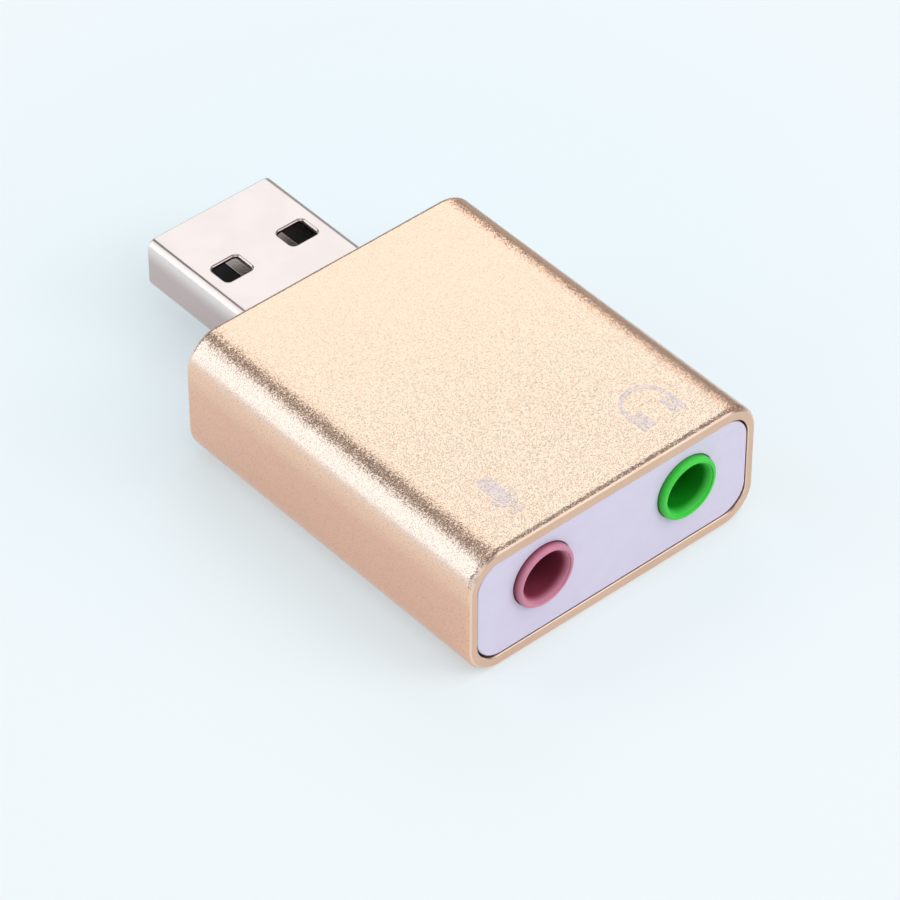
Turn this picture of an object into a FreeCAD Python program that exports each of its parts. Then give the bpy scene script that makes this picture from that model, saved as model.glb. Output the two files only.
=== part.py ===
import FreeCAD, Part
import math
import os

from FreeCAD import Vector

# USB sound card: an aluminium sleeve closed by two moulded end panels, with two 3.5 mm sockets at the
# front and a USB plug at the back. Millimetres. The sockets face -Y, the plug points along +Y and +Z is up.
# The origin is under the middle of the whole length, on the flat bottom that the sleeve lies on.

# Sleeve: an extruded tube with rounded corners
sleeve_width = 27.3
sleeve_height = 11.1
sleeve_length = 31.3
sleeve_corner_radius = 2.9
sleeve_bore_radius = 2.0
sleeve_side_wall = 0.8
sleeve_flat_wall = 1.05
sleeve_end_chamfer = 0.25
sleeve_end_break = 0.08

# End panels: plates that close the sleeve, with tongues over the board's edges and ledges under it
panel_thickness = 1.6
panel_recess = 0.08
panel_gap = 0.05
panel_corner_radius = 2.25
panel_edge_break = 0.06
tongue_length = 4.0
tongue_height = 3.6
tongue_thickness = 0.8
ledge_reach = 1.4
ledge_thickness = 0.8
front_ledge_width = 5.0
rear_ledge_width = 3.0

# Sockets: moulded bodies with a round collar that stands out of the front panel
jack_spacing = 13.65
jack_rise = 0.88
jack_width = 6.4
jack_height = 5.4
jack_top_chamfer = 1.1
jack_back_wall = 0.6
flange_width = 7.0
flange_thickness = 1.2
collar_diameter = 5.25
collar_reach = 0.5
collar_hole_gap = 0.06
lip_round = 0.25
lip_facets = 3
lip_opening = 4.5
lead_in_step = 0.12
lead_in_diameter = 4.3
lead_in_depth = 0.75
bore_diameter = 3.6
bore_depth = 13.9
peg_diameter = 1.0
peg_length = 1.0

# Socket springs: stamped strips that stand in slots beside the bore
spring_thickness = 0.25
spring_height = 1.4
spring_slot_gap = 0.1
spring_anchor_offset = 0.95
spring_anchor_length = 0.9
spring_arm_length = 1.5
spring_return_length = 0.6
spring_return_rise = 0.35
spring_crest_depth = 0.17
spring_first_gap = 0.4
spring_last_gap = 0.5
pin_width = 0.8

# USB plug: a rolled steel shell round a moulded tongue with four contact strips
plug_width = 12.0
plug_height = 4.5
plug_reach = 14.1
plug_inside = 4.8
plug_over_board = 1.3
shell_thickness = 0.3
shell_corner_radius = 0.65
shell_tip_chamfer = 0.12
window_width = 2.55
window_length = 2.1
window_corner_radius = 0.4
window_spacing = 6.3
window_setback = 5.5
seam_width = 0.08
seam_depth = 0.1
seam_key_width = 1.2
seam_key_length = 2.4
seam_key_flare = 0.35
wing_reach = 1.2
wing_length = 1.6
wing_setback = 0.7
insulator_gap = 0.03
tongue_deck = 1.85
cavity_depth = 9.6
tongue_setback = 0.35
tongue_nose = 0.4
contact_width = 1.0
contact_thickness = 0.3
contact_proud = 0.05
contact_inner_x = 1.0
contact_outer_x = 3.5
contact_setback = 1.4
data_contact_delay = 1.0
contact_gap = 0.02
contact_tail = 0.6
contact_slope = 0.4
contact_foot = 1.0

# Circuit board and the parts on it
board_thickness = 1.2
board_side_gap = 0.45
board_end_gap = 0.1
board_corner_radius = 0.5
board_grip_gap = 0.1
hole_gap = 0.1
tail_floor_gap = 0.6
part_gap = 0.5
side_margin = 1.85
chip_length = 8.65
chip_width = 3.9
chip_height = 1.45
chip_standoff = 0.1
chip_draft = 0.12
lead_count = 12
lead_pitch = 0.635
lead_width = 0.25
lead_thickness = 0.15
lead_shoulder = 0.3
lead_slope = 0.15
lead_foot = 0.6
crystal_width = 3.2
crystal_length = 5.0
crystal_base_height = 0.7
crystal_corner_radius = 0.2
crystal_lid_inset = 0.3
crystal_lid_height = 0.4
seat_size = 4.3
seat_height = 0.9
seat_chamfer = 0.9
can_diameter = 4.0
can_height = 3.6
can_rim_round = 0.3
can_groove_height = 0.9
can_groove_depth = 0.2
chip_part_length = 1.6
chip_part_width = 0.8
chip_capacitor_height = 0.8
chip_resistor_height = 0.45
chip_part_columns = 2
chip_part_rows = 3
chip_part_pitch_x = 2.3
chip_part_pitch_y = 1.35

# Places along the length
whole_length = collar_reach + sleeve_length + plug_reach
collar_face_y = -whole_length / 2
front_y = collar_face_y + collar_reach
rear_y = front_y + sleeve_length
plug_tip_y = rear_y + plug_reach
plug_back_y = rear_y - plug_inside
panel_depth = panel_recess + panel_thickness
front_panel_back_y = front_y + panel_depth
rear_panel_back_y = rear_y - panel_depth
bore_end_y = collar_face_y + bore_depth
jack_back_y = bore_end_y + jack_back_wall

# Places across and up
bore_radius = bore_diameter / 2
inner_half_width = sleeve_width / 2 - sleeve_side_wall
inner_height = sleeve_height - 2 * sleeve_flat_wall
middle_z = sleeve_height / 2
jack_z = middle_z + jack_rise
board_top_z = jack_z - jack_height / 2
board_bottom_z = board_top_z - board_thickness
board_half_width = inner_half_width - board_side_gap
plug_z = board_top_z + plug_over_board
plug_bottom_z = plug_z - plug_height / 2
tail_z = sleeve_flat_wall + tail_floor_gap
tongue_bottom_z = plug_bottom_z + shell_thickness + insulator_gap
deck_z = tongue_bottom_z + tongue_deck
contact_z = deck_z + contact_proud - contact_thickness / 2
anchor_offset = bore_radius + spring_anchor_offset
spring_length = spring_anchor_length + spring_arm_length + spring_return_length
first_spring_y = front_panel_back_y + spring_first_gap
spring_pitch = (bore_end_y - spring_last_gap - spring_length - first_spring_y) / 2
contact_end_y = plug_back_y - contact_tail - contact_slope - contact_foot
chip_y = (jack_back_y + contact_end_y) / 2
side_part_x = board_half_width - side_margin - seat_size / 2
side_part_y = jack_back_y + part_gap + seat_size / 2
behind_can_y = side_part_y + seat_size / 2 + part_gap

SAME_PLACE = 1e-6
JACKS = {"headphone": jack_spacing / 2, "microphone": -jack_spacing / 2}
SPRINGS = {"sleeve": -1, "ring": 1, "tip": -1}
USB_CONTACTS = {
    "power": (contact_outer_x, 0.0),
    "data_minus": (contact_inner_x, data_contact_delay),
    "data_plus": (-contact_inner_x, data_contact_delay),
    "ground": (-contact_outer_x, 0.0),
}


# Basic forms
def box(x0, x1, y0, y1, z0, z1):
    """A block between two corners."""
    return Part.makeBox(x1 - x0, y1 - y0, z1 - z0, Vector(x0, y0, z0))


def rounded_wire(width, height, radius, place):
    """A closed rounded rectangle about the origin, with place turning (u, v) into a point."""
    half_u, half_v = width / 2, height / 2
    turn = math.sqrt(0.5)
    corners = []
    for side_u, side_v in [(1, -1), (1, 1), (-1, 1), (-1, -1)]:
        centre_u, centre_v = side_u * (half_u - radius), side_v * (half_v - radius)
        ends = [(0, side_v * radius), (side_u * radius, 0)]
        if side_u == side_v:
            ends.reverse()
        middle = (side_u * radius * turn, side_v * radius * turn)
        corners.append([place(centre_u + u, centre_v + v) for u, v in (ends[0], middle, ends[1])])
    edges = []
    for (start, middle, end), following in zip(corners, corners[1:] + corners[:1]):
        edges.append(Part.Arc(start, middle, end).toShape())
        edges.append(Part.LineSegment(end, following[0]).toShape())
    return Part.Wire(edges)


def rounded_bar(width, height, radius, y0, y1, z):
    """A bar along Y with a rounded rectangle as its section, centred on x = 0 and z."""
    wire = rounded_wire(width, height, radius, lambda u, v: Vector(u, y0, z + v))
    return Part.Face(wire).extrude(Vector(0, y1 - y0, 0))


def rounded_plate(width, length, radius, x, y, z0, z1):
    """A plate in plan, a rounded rectangle about (x, y) between two heights."""
    wire = rounded_wire(width, length, radius, lambda u, v: Vector(x + u, y + v, z0))
    return Part.Face(wire).extrude(Vector(0, 0, z1 - z0))


def bar_along_y(radius, x, y0, y1, z):
    """A round bar along Y."""
    return Part.makeCylinder(radius, y1 - y0, Vector(x, y0, z), Vector(0, 1, 0))


def prism(points, sweep):
    """A solid swept from a flat polygon of points."""
    return Part.Face(Part.makePolygon(points + points[:1])).extrude(sweep)


def turned(profile, x, y, z, axis):
    """A solid turned from (radius, distance along the axis) points about an axis through (x, y, z)."""
    base = Vector(x, y, z)
    side = Vector(1, 0, 0)
    points = [base + side * radius + axis * along for radius, along in profile]
    return Part.Face(Part.makePolygon(points + points[:1])).revolve(base, axis, 360)


def strip_outline(points, thickness):
    """The corners of a strip of even thickness along a bent line of (u, v) points."""
    normals = []
    for (u0, v0), (u1, v1) in zip(points, points[1:]):
        run = math.hypot(u1 - u0, v1 - v0)
        normals.append(((v0 - v1) / run, (u1 - u0) / run))
    left, right = [], []
    for index, (u, v) in enumerate(points):
        before = normals[max(index - 1, 0)]
        after = normals[min(index, len(normals) - 1)]
        share = thickness / 2 / (1 + before[0] * after[0] + before[1] * after[1])
        shift_u = (before[0] + after[0]) * share
        shift_v = (before[1] + after[1]) * share
        left.append((u + shift_u, v + shift_v))
        right.append((u - shift_u, v - shift_v))
    return left + right[::-1]


def edges_at_y(shape, y):
    """The edges of a shape that lie wholly in the plane at y."""
    return [
        edge
        for edge in shape.Edges
        if abs(edge.BoundBox.YMin - y) < SAME_PLACE and abs(edge.BoundBox.YMax - y) < SAME_PLACE
    ]


# Casing
def housing_sleeve():
    """The extruded tube, chamfered along the outer edge of each end and broken along the inner one."""
    tube = rounded_bar(sleeve_width, sleeve_height, sleeve_corner_radius, front_y, rear_y, middle_z)
    tube = tube.makeChamfer(sleeve_end_chamfer, edges_at_y(tube, front_y) + edges_at_y(tube, rear_y))
    bore = rounded_bar(2 * inner_half_width, inner_height, sleeve_bore_radius, front_y, rear_y, middle_z)
    tube = tube.cut(bore)
    end_edges = edges_at_y(tube, front_y) + edges_at_y(tube, rear_y)
    bore_edges = [edge for edge in end_edges if all(on_bore(vertex.Point) for vertex in edge.Vertexes)]
    return tube.makeChamfer(sleeve_end_break, bore_edges)


def on_bore(point):
    """Whether a point of the sleeve's end lies on the outline of its bore."""
    within_width = abs(point.x) < inner_half_width + SAME_PLACE
    return within_width and abs(point.z - middle_z) < inner_height / 2 + SAME_PLACE


def panel_plate(outer_y, inner_y):
    """A plate that closes the sleeve's bore, with its outer edge broken."""
    width = 2 * (inner_half_width - panel_gap)
    height = inner_height - 2 * panel_gap
    y0, y1 = sorted((outer_y, inner_y))
    plate = rounded_bar(width, height, panel_corner_radius, y0, y1, middle_z)
    return plate.makeChamfer(panel_edge_break, edges_at_y(plate, outer_y))


def side_tongues(inner_y, direction):
    """Two tongues along the sleeve's side walls, over the board's edges."""
    y0, y1 = sorted((inner_y, inner_y + direction * tongue_length))
    outer = inner_half_width - panel_gap
    inner = outer - tongue_thickness
    bottom = board_top_z + board_grip_gap
    top = bottom + tongue_height
    return [box(x0, x1, y0, y1, bottom, top) for x0, x1 in ((-outer, -inner), (inner, outer))]


def ledge(x, width, inner_y, direction):
    """A ledge under the board's edge, centred on x."""
    y0, y1 = sorted((inner_y, inner_y + direction * ledge_reach))
    top = board_bottom_z - board_grip_gap
    return box(x - width / 2, x + width / 2, y0, y1, top - ledge_thickness, top)


def front_panel():
    """The white front plate, with a round hole for each socket's collar."""
    plate = panel_plate(front_y + panel_recess, front_panel_back_y)
    plate = plate.multiFuse(
        side_tongues(front_panel_back_y, 1) + [ledge(0, front_ledge_width, front_panel_back_y, 1)]
    )
    hole_radius = collar_diameter / 2 + collar_hole_gap
    holes = [bar_along_y(hole_radius, x, front_y, front_panel_back_y, jack_z) for x in JACKS.values()]
    return plate.cut(holes).removeSplitter()


def rear_panel():
    """The white rear plate, with a slot for the plug."""
    plate = panel_plate(rear_y - panel_recess, rear_panel_back_y)
    ledge_x = board_half_width - rear_ledge_width
    ledges = [ledge(side * ledge_x, rear_ledge_width, rear_panel_back_y, -1) for side in (-1, 1)]
    plate = plate.multiFuse(side_tongues(rear_panel_back_y, -1) + ledges)
    slot = rounded_bar(
        plug_width + 2 * collar_hole_gap,
        plug_height + 2 * collar_hole_gap,
        shell_corner_radius + collar_hole_gap,
        rear_panel_back_y,
        rear_y,
        plug_z,
    )
    return plate.cut(slot).removeSplitter()


# Sockets
def collar_profile():
    """The collar's half section as (radius, distance back): lip, step, lead-in cone and bore."""
    outer = collar_diameter / 2
    back = front_panel_back_y + flange_thickness / 2 - collar_face_y
    quarter = [math.pi / 2 * step / lip_facets for step in range(lip_facets + 1)]
    lip = [(outer - lip_round * (1 - math.cos(turn)), lip_round * (1 - math.sin(turn))) for turn in quarter]
    return lip + [
        (lip_opening / 2, 0),
        (lip_opening / 2, lead_in_step),
        (lead_in_diameter / 2, lead_in_step),
        (bore_radius, lead_in_depth),
        (bore_radius, back),
        (outer, back),
    ]


def jack_block(x):
    """The socket's moulded block with its front flange, solid."""
    half = jack_width / 2
    low, high = board_top_z, board_top_z + jack_height
    section = [
        Vector(x - half, front_panel_back_y, low),
        Vector(x + half, front_panel_back_y, low),
        Vector(x + half, front_panel_back_y, high - jack_top_chamfer),
        Vector(x + half - jack_top_chamfer, front_panel_back_y, high),
        Vector(x - half + jack_top_chamfer, front_panel_back_y, high),
        Vector(x - half, front_panel_back_y, high - jack_top_chamfer),
    ]
    block = prism(section, Vector(0, jack_back_y - front_panel_back_y, 0))
    flange_back_y = front_panel_back_y + flange_thickness
    flange = box(x - flange_width / 2, x + flange_width / 2, front_panel_back_y, flange_back_y, low, high)
    return block.fuse(flange)


def peg_places(x):
    """Where the two locating pegs stand under a socket."""
    inset = (jack_back_y - front_panel_back_y) / 4
    return [(x, front_panel_back_y + inset), (x, jack_back_y - inset)]


def spring_starts():
    """Each spring's name, side of the bore and front end along Y."""
    return [
        (name, side, first_spring_y + index * spring_pitch)
        for index, (name, side) in enumerate(SPRINGS.items())
    ]


def jack_body(x):
    """A socket: collar, block, bore, spring slots with their pin channels, and pegs for the board."""
    collar = turned(collar_profile(), x, collar_face_y, jack_z, Vector(0, 1, 0))
    body = jack_block(x).fuse(collar)
    body = body.multiFuse(
        [
            Part.makeCylinder(peg_diameter / 2, peg_length, Vector(px, py, board_top_z), Vector(0, 0, -1))
            for px, py in peg_places(x)
        ]
    )
    cuts = [bar_along_y(bore_radius, x, front_panel_back_y, bore_end_y, jack_z)]
    half_slot = spring_height / 2 + spring_slot_gap
    channel_inner = anchor_offset - spring_thickness / 2 - spring_slot_gap
    outside = flange_width / 2
    for _, side, y in spring_starts():
        y0, y1 = y - spring_slot_gap, y + spring_length + spring_slot_gap
        slot_x = sorted((x, x + side * outside))
        cuts.append(box(*slot_x, y0, y1, jack_z - half_slot, jack_z + half_slot))
        channel_x = sorted((x + side * channel_inner, x + side * outside))
        channel_end = y + pin_width + spring_slot_gap
        cuts.append(box(*channel_x, y0, channel_end, board_top_z, jack_z))
    return body.cut(cuts).removeSplitter()


def spring_contact(x, side, y):
    """A stamped spring: an anchored strip with a crest towards the bore, and a pin down through the board."""
    slope = math.hypot(spring_arm_length, spring_anchor_offset) / spring_arm_length
    crest = bore_radius - spring_crest_depth + spring_thickness / 2 * slope
    path = [
        (anchor_offset, y),
        (anchor_offset, y + spring_anchor_length),
        (crest, y + spring_anchor_length + spring_arm_length),
        (crest + spring_return_rise, y + spring_length),
    ]
    low = jack_z - spring_height / 2
    outline = [Vector(x + side * u, v, low) for u, v in strip_outline(path, spring_thickness)]
    leaf = prism(outline, Vector(0, 0, spring_height))
    pin_x = x + side * anchor_offset
    half = spring_thickness / 2
    pin = box(pin_x - half, pin_x + half, y, y + pin_width, tail_z, jack_z)
    return leaf.fuse(pin).removeSplitter()


# USB plug
def plug_windows():
    """The cutters for the two latch windows in the top of the shell and the two in its bottom."""
    y = plug_tip_y - window_setback - window_length / 2
    return [
        rounded_plate(
            window_width,
            window_length,
            window_corner_radius,
            side * window_spacing / 2,
            y,
            plug_bottom_z,
            plug_bottom_z + plug_height,
        )
        for side in (-1, 1)
    ]


def shell_seam():
    """The groove of the shell's rolled seam along its bottom, with one dovetail key."""
    key_y = (plug_tip_y - window_setback + rear_y) / 2 - window_length / 2
    half = seam_key_length / 2
    path = [
        (0, plug_back_y),
        (0, key_y - half + seam_key_flare),
        (seam_key_width, key_y - half),
        (seam_key_width, key_y + half),
        (0, key_y + half - seam_key_flare),
        (0, plug_tip_y),
    ]
    outline = [Vector(u, v, plug_bottom_z) for u, v in strip_outline(path, seam_width)]
    return prism(outline, Vector(0, 0, seam_depth))


def wing_leg_x():
    """The middle of a board leg's thickness, out from the plug's centre."""
    return plug_width / 2 + wing_reach - shell_thickness / 2


def wing(side):
    """A board leg: a tab folded out of the shell's side onto the board and down through it."""
    height = board_top_z + shell_thickness / 2
    path = [
        (plug_width / 2 - shell_thickness / 2, height),
        (wing_leg_x(), height),
        (wing_leg_x(), tail_z),
    ]
    y = plug_back_y + wing_setback
    outline = [Vector(side * u, y, v) for u, v in strip_outline(path, shell_thickness)]
    return prism(outline, Vector(0, wing_length, 0))


def usb_plug_shell():
    """The steel shell: a rolled tube with latch windows, a seam and two board legs."""
    outer = rounded_bar(plug_width, plug_height, shell_corner_radius, plug_back_y, plug_tip_y, plug_z)
    outer = outer.makeChamfer(shell_tip_chamfer, edges_at_y(outer, plug_tip_y))
    inner = rounded_bar(
        plug_width - 2 * shell_thickness,
        plug_height - 2 * shell_thickness,
        shell_corner_radius - shell_thickness,
        plug_back_y,
        plug_tip_y,
        plug_z,
    )
    shell = outer.cut([inner] + plug_windows() + [shell_seam()])
    return shell.multiFuse([wing(side) for side in (-1, 1)]).removeSplitter()


def usb_insulator():
    """The black block that fills the shell's back, with the tongue that carries the contacts."""
    inner_radius = shell_corner_radius - shell_thickness
    width = plug_width - 2 * (shell_thickness + insulator_gap)
    height = plug_height - 2 * (shell_thickness + insulator_gap)
    tongue_end_y = plug_tip_y - tongue_setback
    body = rounded_bar(width, height, inner_radius, plug_back_y, tongue_end_y, plug_z)
    cavity = box(-width, width, plug_tip_y - cavity_depth, plug_tip_y, deck_z, deck_z + plug_height)
    nose = prism(
        [
            Vector(-width, tongue_end_y - tongue_nose, deck_z),
            Vector(-width, tongue_end_y, deck_z),
            Vector(-width, tongue_end_y, deck_z - tongue_nose),
        ],
        Vector(2 * width, 0, 0),
    )
    half = contact_width / 2 + contact_gap
    groove_low = contact_z - contact_thickness / 2 - contact_gap
    groove_high = contact_z + contact_thickness / 2 + contact_gap
    grooves = [
        box(x - half, x + half, plug_back_y, contact_front_y(delay) + contact_gap, groove_low, groove_high)
        for x, delay in USB_CONTACTS.values()
    ]
    return body.cut([cavity, nose] + grooves).removeSplitter()


def contact_front_y(delay):
    """Where a contact strip ends on the tongue, counted back from the tip of the shell."""
    return plug_tip_y - contact_setback - delay


def usb_contact(x, delay):
    """A contact strip along the tongue, folded down behind the plug onto the board."""
    foot_z = board_top_z + contact_thickness / 2
    bend_y = plug_back_y - contact_tail
    path = [
        (contact_front_y(delay), contact_z),
        (bend_y, contact_z),
        (bend_y - contact_slope, foot_z),
        (bend_y - contact_slope - contact_foot, foot_z),
    ]
    outline = [Vector(x - contact_width / 2, u, v) for u, v in strip_outline(path, contact_thickness)]
    return prism(outline, Vector(contact_width, 0, 0))


# Circuit
def board_notch():
    """The cutter for the board's notch round the plug."""
    half = plug_width / 2 + hole_gap
    return box(-half, half, plug_back_y - hole_gap, rear_y, board_bottom_z, board_top_z)


def board_holes():
    """The cutters for the socket pegs, the spring pins and the plug's legs."""
    down = Vector(0, 0, -1)
    cutters = []
    for x in JACKS.values():
        for px, py in peg_places(x):
            radius = peg_diameter / 2 + hole_gap
            cutters.append(Part.makeCylinder(radius, board_thickness, Vector(px, py, board_top_z), down))
        for _, side, y in spring_starts():
            cutters.append(board_slot(x + side * anchor_offset, spring_thickness, y, pin_width))
    wing_y = plug_back_y + wing_setback
    for side in (-1, 1):
        cutters.append(board_slot(side * wing_leg_x(), shell_thickness, wing_y, wing_length))
    return cutters


def board_slot(x, thickness, y, length):
    """The cutter for a slot round a flat leg that is centred on x and starts at y."""
    half = thickness / 2 + hole_gap
    return box(x - half, x + half, y - hole_gap, y + length + hole_gap, board_bottom_z, board_top_z)


def circuit_board():
    """The fibreglass board, with its notch and holes."""
    y0 = front_panel_back_y + board_end_gap
    y1 = rear_panel_back_y - board_end_gap
    plate = rounded_plate(
        2 * board_half_width, y1 - y0, board_corner_radius, 0, (y0 + y1) / 2, board_bottom_z, board_top_z
    )
    return plate.cut([board_notch()] + board_holes())


def chip_middle_z():
    """The height of the chip's parting line, where its leads come out."""
    return board_top_z + chip_standoff + chip_height / 2


def audio_chip():
    """The chip's moulded package, drafted up and down from its parting line."""

    def outline(inset, z):
        half_x, half_y = chip_length / 2 - inset, chip_width / 2 - inset
        corners = [(-half_x, -half_y), (half_x, -half_y), (half_x, half_y), (-half_x, half_y)]
        points = [Vector(x, chip_y + y, z) for x, y in corners]
        return Part.makePolygon(points + points[:1])

    middle = chip_middle_z()
    halves = [
        Part.makeLoft([outline(chip_draft, middle + side * chip_height / 2), outline(0, middle)], True, True)
        for side in (-1, 1)
    ]
    return halves[0].fuse(halves[1])


def audio_chip_leads():
    """The chip's bent leads, along its front and back."""
    path = [
        (0, chip_middle_z()),
        (lead_shoulder, chip_middle_z()),
        (lead_shoulder + lead_slope, board_top_z + lead_thickness / 2),
        (lead_shoulder + lead_slope + lead_foot, board_top_z + lead_thickness / 2),
    ]
    leads = []
    for side in (-1, 1):
        edge_y = chip_y + side * chip_width / 2
        for index in range(lead_count):
            x = (index - (lead_count - 1) / 2) * lead_pitch - lead_width / 2
            outline = [Vector(x, edge_y + side * u, v) for u, v in strip_outline(path, lead_thickness)]
            leads.append(prism(outline, Vector(lead_width, 0, 0)))
    return Part.makeCompound(leads)


def crystal_place():
    """Where the clock crystal stands on the board, in plan."""
    x = board_half_width - side_margin - crystal_width / 2
    return x, behind_can_y + crystal_length / 2


def crystal_base():
    """The crystal's ceramic base."""
    x, y = crystal_place()
    top = board_top_z + crystal_base_height
    return rounded_plate(crystal_width, crystal_length, crystal_corner_radius, x, y, board_top_z, top)


def crystal_lid():
    """The crystal's metal lid."""
    x, y = crystal_place()
    width = crystal_width - 2 * crystal_lid_inset
    length = crystal_length - 2 * crystal_lid_inset
    low = board_top_z + crystal_base_height
    return rounded_plate(width, length, crystal_corner_radius, x, y, low, low + crystal_lid_height)


def capacitor_seat(x):
    """A capacitor's square seat, with its two front corners cut."""
    half = seat_size / 2
    cut = half - seat_chamfer
    corners = [(-cut, -half), (cut, -half), (half, -cut), (half, half), (-half, half), (-half, -cut)]
    points = [Vector(x + u, side_part_y + v, board_top_z) for u, v in corners]
    return prism(points, Vector(0, 0, seat_height))


def capacitor_can(x):
    """A capacitor's can, with its crimped groove and rounded rim."""
    radius = can_diameter / 2
    profile = [
        (0, 0),
        (radius, 0),
        (radius, can_groove_height - can_groove_depth),
        (radius - can_groove_depth, can_groove_height),
        (radius, can_groove_height + can_groove_depth),
        (radius, can_height - can_rim_round),
        (radius - can_rim_round, can_height),
        (0, can_height),
    ]
    return turned(profile, x, side_part_y, board_top_z + seat_height, Vector(0, 0, 1))


def chip_grid(x, y, z0, z1):
    """A grid of small surface-mount blocks about x, with its first row's front at y."""
    blocks = []
    for column in range(chip_part_columns):
        for row in range(chip_part_rows):
            left = x + (column - (chip_part_columns - 1) / 2) * chip_part_pitch_x - chip_part_length / 2
            front = y + row * chip_part_pitch_y
            blocks.append(box(left, left + chip_part_length, front, front + chip_part_width, z0, z1))
    return Part.makeCompound(blocks)


def chip_capacitors():
    """The small capacitors behind the left can, on top of the board."""
    return chip_grid(-side_part_x, behind_can_y, board_top_z, board_top_z + chip_capacitor_height)


def chip_resistors():
    """The small resistors under the board, below the chip."""
    depth = (chip_part_rows - 1) * chip_part_pitch_y + chip_part_width
    low = board_bottom_z - chip_resistor_height
    return chip_grid(0, chip_y - depth / 2, low, board_bottom_z)


def all_pieces():
    """Every piece by its name."""
    pieces = {
        "housing_sleeve": housing_sleeve(),
        "front_panel": front_panel(),
        "rear_panel": rear_panel(),
        "usb_plug_shell": usb_plug_shell(),
        "usb_insulator": usb_insulator(),
        "circuit_board": circuit_board(),
        "audio_chip": audio_chip(),
        "audio_chip_leads": audio_chip_leads(),
        "crystal_base": crystal_base(),
        "crystal_lid": crystal_lid(),
        "chip_capacitors": chip_capacitors(),
        "chip_resistors": chip_resistors(),
    }
    for name, (x, delay) in USB_CONTACTS.items():
        pieces[f"usb_contact_{name}"] = usb_contact(x, delay)
    for name, x in JACKS.items():
        pieces[f"{name}_jack_body"] = jack_body(x)
        for spring, side, y in spring_starts():
            pieces[f"{name}_{spring}_contact"] = spring_contact(x, side, y)
    for name, x in {"left": -side_part_x, "right": side_part_x}.items():
        pieces[f"{name}_capacitor_seat"] = capacitor_seat(x)
        pieces[f"{name}_capacitor_can"] = capacitor_can(x)
    return pieces


os.makedirs("parts", exist_ok=True)
for node, shape in all_pieces().items():
    shape.exportStep(f"parts/{node}.step")
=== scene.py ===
import logging
import math
from dataclasses import dataclass
from enum import Enum

import bmesh
import bpy
from mathutils import Matrix, Vector


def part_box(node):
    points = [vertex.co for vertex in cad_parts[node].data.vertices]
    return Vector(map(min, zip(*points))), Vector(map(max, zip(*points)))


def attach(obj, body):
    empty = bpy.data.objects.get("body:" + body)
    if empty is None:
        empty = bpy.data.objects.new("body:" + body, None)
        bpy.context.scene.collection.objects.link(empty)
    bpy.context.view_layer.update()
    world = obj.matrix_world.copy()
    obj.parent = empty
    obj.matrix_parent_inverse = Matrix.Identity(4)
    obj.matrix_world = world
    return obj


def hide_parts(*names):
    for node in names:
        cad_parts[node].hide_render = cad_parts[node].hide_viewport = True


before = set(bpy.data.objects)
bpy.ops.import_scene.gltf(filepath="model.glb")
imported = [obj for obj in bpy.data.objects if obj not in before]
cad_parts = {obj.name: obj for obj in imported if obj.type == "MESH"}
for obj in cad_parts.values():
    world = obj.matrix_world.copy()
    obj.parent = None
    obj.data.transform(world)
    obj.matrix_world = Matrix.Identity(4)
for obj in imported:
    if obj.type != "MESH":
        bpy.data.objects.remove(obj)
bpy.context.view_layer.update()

# Looks of a USB sound card: a bead-blasted sleeve with white end panels, two coloured sockets, a
# plated plug and two printed pictograms, on a pale floor. Lengths are in metres, the sockets face
# -Y, the plug points along +Y and +Z is up.

MM = 0.001
BODY = "root"
MERGE_DISTANCE = 0.0005 * MM
FLAT_ANGLE = math.radians(0.5)
CREASE_ANGLE = math.radians(40)
ALIGNED = 0.9
SIDES = (-1, 1)
LOG = logging.getLogger("sound_card")

Colour = tuple[float, float, float, float]
Point = tuple[float, float, float]
Pair = tuple[float, float]
Limits = tuple[float, float, float, float]
Settings = dict[str, object] | None
Inputs = dict[str | int, object] | None
Material = bpy.types.Material
Piece = bpy.types.Object
Form = bmesh.types.BMesh
Vert = bmesh.types.BMVert
Edge = bmesh.types.BMEdge
Face = bmesh.types.BMFace


class Tone:
    """A shader value: a node's output, on which Python's operators add Math nodes."""

    def __init__(self, graph: "Graph", socket: bpy.types.NodeSocket) -> None:
        """Keeps the output that carries the value, and its graph."""
        self.graph = graph
        self.socket = socket

    def _math(self, operation: str, first: "Tone | float", second: "Tone | float") -> "Tone":
        """Adds a Math node for an operation on two values."""
        return self.graph.tone("ShaderNodeMath", {"operation": operation}, {0: first, 1: second})

    def __add__(self, other: "Tone | float") -> "Tone":
        """The sum with a value or a number."""
        return self._math("ADD", self, other)

    def __radd__(self, other: float) -> "Tone":
        """The sum with a number that stands first."""
        return self._math("ADD", other, self)

    def __sub__(self, other: "Tone | float") -> "Tone":
        """The difference from a value or a number."""
        return self._math("SUBTRACT", self, other)

    def __rsub__(self, other: float) -> "Tone":
        """The difference from a number that stands first."""
        return self._math("SUBTRACT", other, self)

    def __mul__(self, other: "Tone | float") -> "Tone":
        """The product with a value or a number."""
        return self._math("MULTIPLY", self, other)

    def __rmul__(self, other: float) -> "Tone":
        """The product with a number that stands first."""
        return self._math("MULTIPLY", other, self)


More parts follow.
